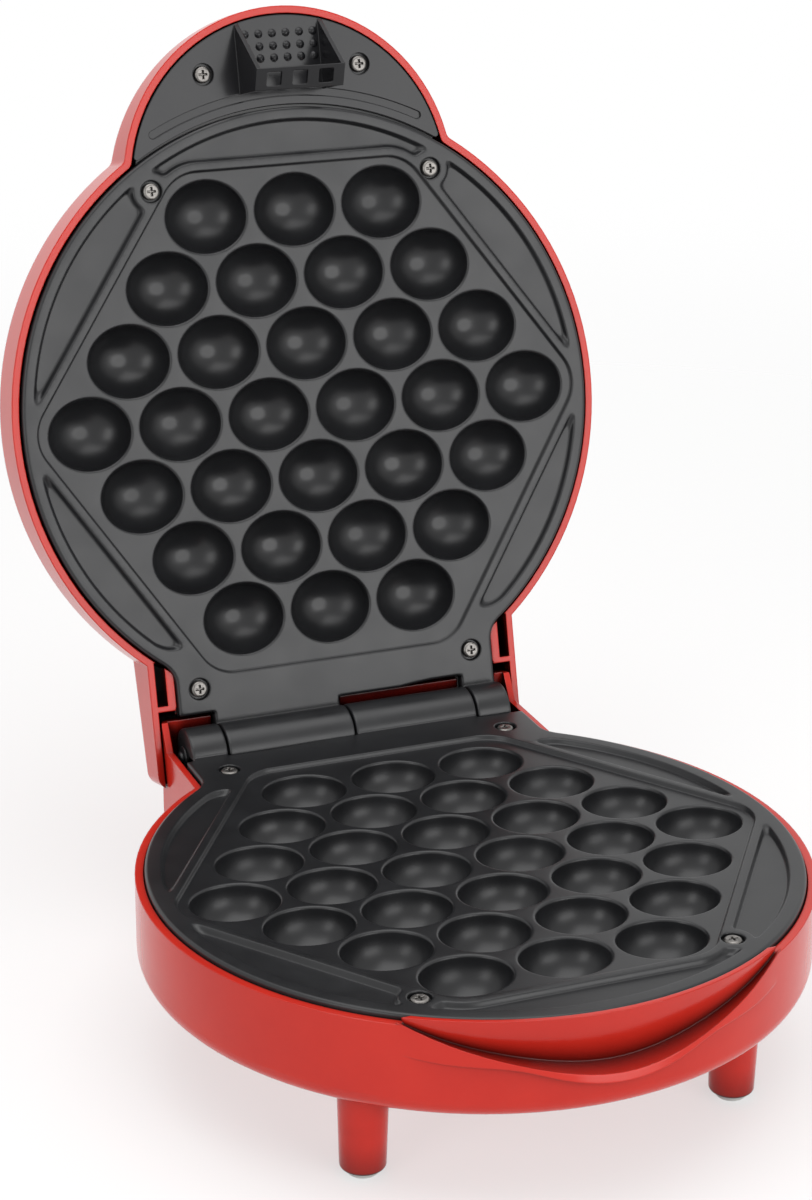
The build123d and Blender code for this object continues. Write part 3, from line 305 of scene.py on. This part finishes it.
def face_depth(x, y, plate):
    """Depth of the cooking face at a point, without cups and screw seats."""
    over_edge = np.clip(1 + from_outline(x, y, plate) / EDGE_ROUND, 0, 1)
    return (
        plate["gap"]
        + step(from_field(x, y) - 0.1, 0.9, FIELD_DEPTH - plate["gap"])
        + step(from_pockets(x, y) - 0.1, 1.3, POCKET_DEPTH)
        + EDGE_ROUND * (1 - np.sqrt(1 - over_edge**2))
    )


def level_loops(distance, level, spacing):
    """Closed lines at one distance from a form, counter-clockwise, with evenly spaced points."""
    xs = np.arange(-104.5, 105, 1.0)
    ys = np.arange(-104.5, 112, 1.0)
    grid_x, grid_y = np.meshgrid(xs, ys)
    values = distance(grid_x, grid_y) - level
    inside = values < 0
    links = {}
    mixed = (inside[:-1, :-1] != inside[1:, 1:]) | (inside[:-1, 1:] != inside[1:, :-1]) | (
        inside[:-1, :-1] != inside[:-1, 1:]
    )
    for i, j in np.argwhere(mixed).tolist():
        ring = [(i, j), (i, j + 1), (i + 1, j + 1), (i + 1, j)]
        crossed = [tuple(sorted((a, b))) for a, b in zip(ring, ring[1:] + ring[:1]) if inside[a] != inside[b]]
        for a, b in zip(crossed[::2], crossed[1::2]):
            links.setdefault(a, []).append(b)
            links.setdefault(b, []).append(a)
    loops = []
    while links:
        key = next(iter(links))
        chain = []
        while key is not None:
            chain.append(key)
            others = links.pop(key)
            key = next((other for other in others if other in links), None)
        points = []
        for a, b in chain:
            share = values[a] / (values[a] - values[b])
            points.append((xs[a[1]] + share * (xs[b[1]] - xs[a[1]]), ys[a[0]] + share * (ys[b[0]] - ys[a[0]])))
        points = np.array(points + points[:1])
        if (points[:-1, 0] * points[1:, 1] - points[1:, 0] * points[:-1, 1]).sum() < 0:
            points = points[::-1]
        travelled = np.concatenate(([0], np.cumsum(np.hypot(*np.diff(points, axis=0).T))))
        places = np.linspace(0, travelled[-1], max(8, round(travelled[-1] / spacing)), endpoint=False)
        points = np.stack([np.interp(places, travelled, points[:, axis]) for axis in (0, 1)], axis=1)
        for _ in range(2):
            x, y = points.T
            slope = np.stack(
                [distance(x + 0.01, y) - distance(x - 0.01, y), distance(x, y + 0.01) - distance(x, y - 0.01)], axis=1
            ) / 0.02
            excess = (distance(x, y) - level) / np.maximum((slope**2).sum(axis=1), 0.25)
            points = points - excess[:, None] * slope
        loops.append(points)
    return loops


def ellipse_ring(centre, half, count=64):
    """Points round an ellipse, counter-clockwise."""
    turns = np.arange(count) * 2 * math.pi / count
    return np.stack([centre[0] + half[0] * np.cos(turns), centre[1] + half[1] * np.sin(turns)], axis=1)


class Casting:
    """Points and faces of one plate, in plan x, plan y and depth."""

    def __init__(self):
        self.points = []
        self.faces = []

    def strip(self, rings, close=False, flip=False):
        """Bands between rings of equal length, closed by a fan in the last ring if asked."""
        count = len(rings[0])
        start = len(self.points)
        for ring in rings:
            self.points.extend(map(tuple, ring))
        for level in range(len(rings) - 1):
            for k in range(count):
                a = start + level * count + k
                b = start + level * count + (k + 1) % count
                face = (a, b, b + count, a + count)
                self.faces.append(face[::-1] if flip else face)
        if close:
            last = range(start + (len(rings) - 1) * count, start + len(rings) * count)
            self.faces.append(tuple(last)[::-1] if flip else tuple(last))

    def sheet(self, loops, depth, keep, flip=False):
        """Triangles between loops, where keep is true of their middles."""
        points = [tuple(point) for loop in loops for point in loop]
        edges = []
        start = 0
        for loop in loops:
            edges += [(start + k, start + (k + 1) % len(loop)) for k in range(len(loop))]
            start += len(loop)
        placed, _, triangles, *_ = delaunay_2d_cdt([Vector(point) for point in points], edges, [], 0, 1e-5)
        plan = np.array([tuple(point) for point in placed])
        middles = plan[np.array(triangles)].mean(axis=1)
        kept = keep(middles[:, 0], middles[:, 1])
        start = len(self.points)
        self.points.extend(zip(plan[:, 0], plan[:, 1], depth(plan[:, 0], plan[:, 1])))
        for triangle, wanted in zip(triangles, kept):
            if wanted:
                face = tuple(start + corner for corner in triangle)
                self.faces.append(face[::-1] if flip else face)


def at_depth(ring, depth):
    """A plan ring with one depth for all its points."""
    return np.column_stack([ring, np.full(len(ring), depth)])


def clear_of(x, y, centres, half):
    """True outside every ellipse of one size."""
    clear = np.full(np.shape(x), True)
    for centre in centres:
        clear &= ((x - centre[0]) / half[0]) ** 2 + ((y - centre[1]) / half[1]) ** 2 > 1
    return clear


def cast_plate(name, node, body, plate, place, flip):
    """Detailed plate that stands for a CAD plate.

    place maps plan x, plan y and depth into the frame, and flip says that this map turns the faces inside out.
    """
    casting = Casting()
    edge = lambda x, y: from_outline(x, y, plate)
    lip = CUP_HALF + LIP_OUT
    seat = np.array((COUNTERBORE, COUNTERBORE)) + SEAT_ROUND
    cup_rings = [ellipse_ring(centre, lip) for centre in CUP_CENTRES]
    seat_edges = [ellipse_ring(centre, seat, SEAT_SIDES) for centre in SCREWS]
    rim = level_loops(edge, 0.0, EDGE_SPACING)
    loops = list(rim) + cup_rings + seat_edges
    for level in (-0.07, -0.29, -0.62, -1.0):
        loops += level_loops(edge, level, LINE_SPACING)
    for level in (0.1, -0.1, -0.3, -0.5, -0.7, -0.8):
        loops += level_loops(from_field, level, LINE_SPACING)
    for level in (0.1, -0.15, -0.4, -0.7, -1.0, -1.2):
        loops += level_loops(from_pockets, level, EDGE_SPACING)
    casting.sheet(
        loops,
        lambda x, y: face_depth(x, y, plate),
        lambda x, y: (edge(x, y) < 0) & clear_of(x, y, CUP_CENTRES, lip) & clear_of(x, y, SCREWS, seat),
    )

    # Cups with a rounded lip and their shells below
    turns = np.linspace(0, math.pi / 2, 5)
    reach = LIP_OUT + LIP_IN
    outer = CUP_DEPTH + CUP_WALL
    for centre in CUP_CENTRES:
        rings = [
            at_depth(
                ellipse_ring(centre, lip - reach * math.sin(turn)), FIELD_DEPTH + reach * (1 - math.cos(turn))
            )
            for turn in turns
        ]
        for fall in np.linspace(0, math.pi / 2, 15)[1:-1]:
            rings.append(
                at_depth(
                    ellipse_ring(centre, (CUP_HALF - LIP_IN) * math.cos(fall)),
                    FIELD_DEPTH + reach + (CUP_DEPTH - reach) * math.sin(fall),
                )
            )
        casting.strip(rings, close=True)
        under = [at_depth(ellipse_ring(centre, CUP_HALF + CUP_ROOT), PLATE_DEPTH)]
        for fall in np.linspace(0.25, math.pi / 2, 9)[:-1]:
            under.append(
                at_depth(
                    ellipse_ring(centre, (CUP_HALF + CUP_WALL) * math.cos(fall)),
                    FIELD_DEPTH + outer * math.sin(fall),
                )
            )
        casting.strip(under, close=True, flip=True)

    # Seats of the plate screws
    bore = seat - SEAT_ROUND
    seat_profile = [(seat, 0), (seat - 0.2, 0.06), (bore, SEAT_ROUND), (bore, COUNTERBORE_DEPTH)]
    for centre in SCREWS:
        rings = [
            at_depth(ellipse_ring(centre, half, SEAT_SIDES), plate["gap"] + depth) for half, depth in seat_profile
        ]
        casting.strip(rings, close=True)

    # Side wall and underside
    for loop in rim:
        casting.strip([at_depth(loop, plate["gap"] + EDGE_ROUND), at_depth(loop, PLATE_DEPTH)], flip=True)
    casting.sheet(
        list(rim) + [ellipse_ring(centre, CUP_HALF + CUP_ROOT) for centre in CUP_CENTRES],
        lambda x, y: np.full(len(x), PLATE_DEPTH),
        lambda x, y: (edge(x, y) < 0) & clear_of(x, y, CUP_CENTRES, CUP_HALF + CUP_ROOT),
        flip=True,
    )

    # Hinge barrels with rounded ends
    turns = np.arange(BARREL_SIDES) * 2 * math.pi / BARREL_SIDES
    drop = HINGE_DROP if body == "base" else -HINGE_DROP
    rounded = [
        (0, PIN_BORE),
        (0, BARREL - BARREL_ROUND),
        (BARREL_BEVEL, BARREL - BARREL_BEVEL),
        (BARREL_ROUND, BARREL),
    ]
    for start, end in plate["knuckles"]:
        profile = [(start + inset, radius) for inset, radius in rounded]
        profile += [(end - inset, radius) for inset, radius in rounded[::-1]] + [(start, PIN_BORE)]
        rings = []
        for x, radius in profile:
            back = np.minimum(HINGE_Y + radius * np.cos(turns), plate["barrel_flat"])
            rings.append(np.column_stack([np.full(BARREL_SIDES, x), back, drop + radius * np.sin(turns)]))
        casting.strip(rings, flip=True)

    mesh = bpy.data.meshes.new(name)
    points = np.array(casting.points)
    mesh.from_pydata((place(points) * MM).tolist(), [], casting.faces)
    if flip:
        mesh.flip_normals()
    welded = bmesh.new()
    welded.from_mesh(mesh)
    bmesh.ops.remove_doubles(welded, verts=welded.verts, dist=WELD * MM)
    welded.to_mesh(mesh)
    welded.free()
    mesh.polygons.foreach_set("use_smooth", [True] * len(mesh.polygons))
    mesh.set_sharp_from_angle(angle=SHARP_ANGLE)
    mesh.materials.append(FINISHES["plate_coating"])
    piece = bpy.data.objects.new(name, mesh)
    bpy.context.scene.collection.objects.link(piece)
    even = piece.modifiers.new("even_normals", "WEIGHTED_NORMAL")
    even.keep_sharp = True
    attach(piece, body)
    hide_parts(node)


LOWER = {
    "radius": 101.2, "tongue_half": 60.4, "tongue_end": 100.2, "gap": 0.0,
    "knuckles": ((-57.6, -45.3), (0.3, 44.2)), "barrel_flat": 118.6,
}
UPPER = {
    "radius": 100.0, "tongue_half": 57.0, "tongue_end": 97.6, "gap": 0.3,
    "knuckles": ((-44.8, -0.2), (44.7, 57.0)), "barrel_flat": 121.0,
}
cast_plate(
    "lower_plate_casting", "lower_plate", "base", LOWER,
    lambda p: PLATE_CENTRE + p * (1, 1, -1), False,
)
cast_plate(
    "upper_plate_casting", "upper_plate", "lid", UPPER,
    lambda p: LID_CENTRE + p[:, :1] * (1, 0, 0) + p[:, 1:2] * TOWARDS_HINGE + p[:, 2:] * INTO, True,
)


# Lid roof

ROOF_DEPTH = 36.0
CENTRE_REACH = 0.5


def level_roof_centre(shell):
    """Gives the roof's very centre the dome's own normal.

    The CAD mesh has a slanted one there, which reads as a dent.
    """
    to_local = shell.matrix_world.inverted()
    group = bpy.data.node_groups.new("level_roof_centre", "GeometryNodeTree")
    for side in ("INPUT", "OUTPUT"):
        group.interface.new_socket("Geometry", in_out=side, socket_type="NodeSocketGeometry")
    entry = group.nodes.new("NodeGroupInput")
    result = group.nodes.new("NodeGroupOutput")
    place = group.nodes.new("GeometryNodeInputPosition")
    off_centre = group.nodes.new("ShaderNodeVectorMath")
    off_centre.operation = "DISTANCE"
    off_centre.inputs[1].default_value = to_local @ Vector((LID_CENTRE + ROOF_DEPTH * INTO) * MM)
    close = group.nodes.new("FunctionNodeCompare")
    close.operation = "LESS_THAN"
    close.inputs["B"].default_value = CENTRE_REACH * MM
    own = group.nodes.new("GeometryNodeInputNormal")
    chosen = group.nodes.new("GeometryNodeSwitch")
    chosen.input_type = "VECTOR"
    chosen.inputs["True"].default_value = (to_local.to_3x3() @ Vector(INTO)).normalized()
    setter = group.nodes.new("GeometryNodeSetMeshNormal")
    setter.mode = "FREE"
    setter.domain = "CORNER"
    for start, end in (
        (place.outputs["Position"], off_centre.inputs[0]),
        (off_centre.outputs["Value"], close.inputs["A"]),
        (close.outputs["Result"], chosen.inputs["Switch"]),
        (own.outputs["Normal"], chosen.inputs["False"]),
        (chosen.outputs["Output"], setter.inputs["Custom Normal"]),
        (entry.outputs["Geometry"], setter.inputs["Mesh"]),
        (setter.outputs["Mesh"], result.inputs["Geometry"]),
    ):
        group.links.new(start, end)
    shell.modifiers.new("level_roof_centre", "NODES").node_group = group


level_roof_centre(nodes["lid_shell"])


# Floor, surroundings, light and camera

FLOOR_HALF = 1.2
FLOOR_FADE_START = 0.45
FLOOR_FADE_END = 1.1
FLOOR_CLEARNESS = 0.6  # at the object, so that its shadow stays as soft as in the photograph
FILL_LIGHT = 0.52
WHITE = 1.0
TARGET = Vector((0, 0.03, 0.15))


def floor_finish():
    """Pale matt floor that fades into the white surroundings away from the object."""
    material = bpy.data.materials.new("studio_floor")
    material.use_nodes = True
    tree = material.node_tree
    tree.nodes.remove(tree.nodes["Principled BSDF"])
    out = tree.nodes["Material Output"]
    matt = tree.nodes.new("ShaderNodeBsdfDiffuse")
    matt.inputs["Color"].default_value = (0.97, 0.965, 0.965, 1)
    clear = tree.nodes.new("ShaderNodeBsdfTransparent")
    mix = tree.nodes.new("ShaderNodeMixShader")
    place = tree.nodes.new("ShaderNodeTexCoord")
    far = tree.nodes.new("ShaderNodeVectorMath")
    far.operation = "LENGTH"
    fade = tree.nodes.new("ShaderNodeMapRange")
    fade.interpolation_type = "SMOOTHSTEP"
    fade.inputs["From Min"].default_value = FLOOR_FADE_START
    fade.inputs["From Max"].default_value = FLOOR_FADE_END
    fade.inputs["To Min"].default_value = FLOOR_CLEARNESS
    tree.links.new(place.outputs["Object"], far.inputs[0])
    tree.links.new(far.outputs["Value"], fade.inputs["Value"])
    tree.links.new(fade.outputs["Result"], mix.inputs["Fac"])
    tree.links.new(matt.outputs["BSDF"], mix.inputs[1])
    tree.links.new(clear.outputs["BSDF"], mix.inputs[2])
    tree.links.new(mix.outputs["Shader"], out.inputs["Surface"])
    return material


floor_mesh = bpy.data.meshes.new("studio_floor")
floor_corners = [(x * FLOOR_HALF, y * FLOOR_HALF, 0) for x, y in ((-1, -1), (1, -1), (1, 1), (-1, 1))]
floor_mesh.from_pydata(floor_corners, [], [(0, 1, 2, 3)])
floor = bpy.data.objects.new("studio_floor", floor_mesh)
floor_mesh.materials.append(floor_finish())
bpy.context.scene.collection.objects.link(floor)

world = bpy.data.worlds.new("studio")
bpy.context.scene.world = world
world.use_nodes = True
sky = world.node_tree
paths = sky.nodes.new("ShaderNodeLightPath")
# The object is lit by FILL_LIGHT, while the camera, mirrors and glass see white
seen = sky.nodes.new("ShaderNodeMath")
seen.operation = "MAXIMUM"
mirrored = sky.nodes.new("ShaderNodeMath")
mirrored.operation = "MAXIMUM"
level = sky.nodes.new("ShaderNodeMapRange")
level.inputs["To Min"].default_value = FILL_LIGHT
level.inputs["To Max"].default_value = WHITE
sky.links.new(paths.outputs["Is Glossy Ray"], mirrored.inputs[0])
sky.links.new(paths.outputs["Is Transmission Ray"], mirrored.inputs[1])
sky.links.new(paths.outputs["Is Camera Ray"], seen.inputs[0])
sky.links.new(mirrored.outputs["Value"], seen.inputs[1])
sky.links.new(seen.outputs["Value"], level.inputs["Value"])
sky.links.new(level.outputs["Result"], sky.nodes["Background"].inputs["Strength"])
sky.nodes["Background"].inputs["Color"].default_value = (1, 1, 1, 1)


def softbox(name, place, width, height, power):
    """Large soft area lamp that looks at the object."""
    lamp = bpy.data.lights.new(name, "AREA")
    lamp.shape = "RECTANGLE"
    lamp.size = width
    lamp.size_y = height
    lamp.energy = power
    holder = bpy.data.objects.new(name, lamp)
    holder.location = place
    holder.rotation_euler = (TARGET - Vector(place)).to_track_quat("-Z", "Y").to_euler()
    bpy.context.scene.collection.objects.link(holder)


softbox("top_box", (-0.1, -0.1, 1.7), 1.6, 1.6, 17)
softbox("right_box", (0.66, -1.65, 0.44), 1.1, 1.1, 12.5)
softbox("left_box", (-1.4, -0.85, 0.6), 0.6, 1.0, 5)

# Camera at the photograph's place: its right, down and forward axes in the part's frame, and its eye
RIGHT = Vector((0.927847, -0.372895, 0.00699))
DOWN = Vector((-0.128184, -0.336439, -0.93294))
FORWARD = Vector((0.35024, 0.86473, -0.359963))
EYE = Vector((-0.332187, -0.801783, 0.468221))
lens = bpy.data.cameras.new("camera")
lens.lens = 90.0
lens.sensor_width = 36.0
lens.clip_start = 0.05
camera = bpy.data.objects.new("camera", lens)
camera.matrix_world = Matrix.Translation(EYE) @ Matrix((RIGHT, -DOWN, -FORWARD)).transposed().to_4x4()
bpy.context.scene.collection.objects.link(camera)
bpy.context.scene.camera = camera

bpy.context.scene.view_settings.view_transform = "Standard"

bpy.context.view_layer.update()
